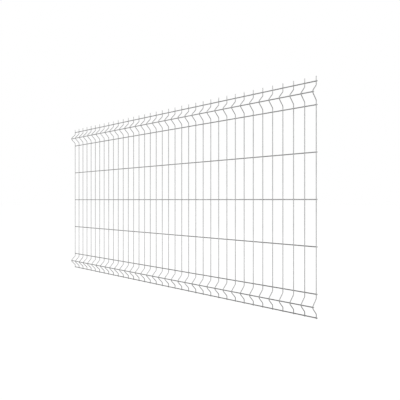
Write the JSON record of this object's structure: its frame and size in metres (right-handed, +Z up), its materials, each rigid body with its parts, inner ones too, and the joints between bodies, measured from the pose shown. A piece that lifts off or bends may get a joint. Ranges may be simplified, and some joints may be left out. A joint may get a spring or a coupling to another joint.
{
  "type": "welded mesh fence panel",
  "caption": "Flat wire mesh fence panel, stiffened by a V fold along its top and its bottom, with spikes along the upper edge.",
  "frame": {"origin": "middle of the cut foot of the middle vertical wire", "axes": "+X along the panel, +Z up, -Y out of the front, where the folds stand proud"},
  "size_m": [1.985, 0.038, 1.023],
  "materials": {
    "galvanised_wire": "hot-dip galvanised, light grey, slightly mottled"
  },
  "bodies": {
    "root": {"bottom_wire": "galvanised_wire", "lower_fold_ridge_wire": "galvanised_wire", "lower_fold_head_wire": "galvanised_wire", "field_wire_1": "galvanised_wire", "field_wire_2": "galvanised_wire", "field_wire_3": "galvanised_wire", "upper_fold_foot_wire": "galvanised_wire", "upper_fold_ridge_wire": "galvanised_wire", "top_wire": "galvanised_wire", "vertical_wire_01": "galvanised_wire", "vertical_wire_02": "galvanised_wire", "vertical_wire_03": "galvanised_wire", "vertical_wire_04": "galvanised_wire", "vertical_wire_05": "galvanised_wire", "vertical_wire_06": "galvanised_wire", "vertical_wire_07": "galvanised_wire", "vertical_wire_08": "galvanised_wire", "vertical_wire_09": "galvanised_wire", "vertical_wire_10": "galvanised_wire", "vertical_wire_11": "galvanised_wire", "vertical_wire_12": "galvanised_wire", "vertical_wire_13": "galvanised_wire", "vertical_wire_14": "galvanised_wire", "vertical_wire_15": "galvanised_wire", "vertical_wire_16": "galvanised_wire", "vertical_wire_17": "galvanised_wire", "vertical_wire_18": "galvanised_wire", "vertical_wire_19": "galvanised_wire", "vertical_wire_20": "galvanised_wire", "vertical_wire_21": "galvanised_wire", "vertical_wire_22": "galvanised_wire", "vertical_wire_23": "galvanised_wire", "vertical_wire_24": "galvanised_wire", "vertical_wire_25": "galvanised_wire", "vertical_wire_26": "galvanised_wire", "vertical_wire_27": "galvanised_wire", "vertical_wire_28": "galvanised_wire", "vertical_wire_29": "galvanised_wire", "vertical_wire_30": "galvanised_wire", "vertical_wire_31": "galvanised_wire", "vertical_wire_32": "galvanised_wire", "vertical_wire_33": "galvanised_wire", "vertical_wire_34": "galvanised_wire", "vertical_wire_35": "galvanised_wire", "vertical_wire_36": "galvanised_wire", "vertical_wire_37": "galvanised_wire"}
  },
  "joints": []
}
